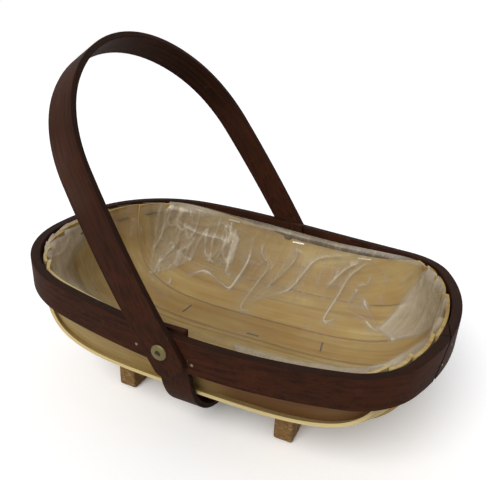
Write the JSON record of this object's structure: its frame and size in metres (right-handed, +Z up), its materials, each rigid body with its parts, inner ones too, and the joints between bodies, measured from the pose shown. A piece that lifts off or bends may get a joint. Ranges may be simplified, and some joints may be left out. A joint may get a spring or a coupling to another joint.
{
  "type": "garden trug",
  "caption": "Boat-shaped basket of thin lapped boards in a bent rim, with a turning hoop handle, a lower hoop, bar feet and a clear film liner.",
  "frame": {"origin": "middle of the object's box, on the floor that the feet stand on", "axes": "+X along the basket towards the end with the rim's lap, -Y the front, +Z up"},
  "size_m": [0.363, 0.2694, 0.2967],
  "materials": {
    "stained_wood": "dark reddish brown stain, matt",
    "pale_board": "bare, planed",
    "chipboard": "bare particle board",
    "film": "clear, creased",
    "brass": "dull",
    "steel": "galvanised wire"
  },
  "bodies": {
    "basket": {"rim_band": "stained_wood", "lower_hoop": "stained_wood", "front_rivet": "brass", "rear_rivet": "brass", "front_rivet_washer": "brass", "rear_rivet_washer": "brass", "centre_board": "pale_board", "front_floor_board": "pale_board", "rear_floor_board": "pale_board", "front_bilge_board": "pale_board", "rear_bilge_board": "pale_board", "front_side_board": "pale_board", "rear_side_board": "pale_board", "left_foot": "chipboard", "right_foot": "chipboard", "liner": "film", "liner_staples": "steel", "board_staples": "steel", "foot_staples": "steel", "strap_staples": "steel", "rim_nails": "steel", "rim_lap_nails": "steel"},
    "handle": {"handle_hoop": "stained_wood"}
  },
  "joints": [
    {"name": "handle_turn", "type": "hinge", "parent": "basket", "child": "handle", "pos_m": [0.0028, 0, 0.105], "axis": [0, 1, 0], "range_deg": [-80, 146]}
  ]
}
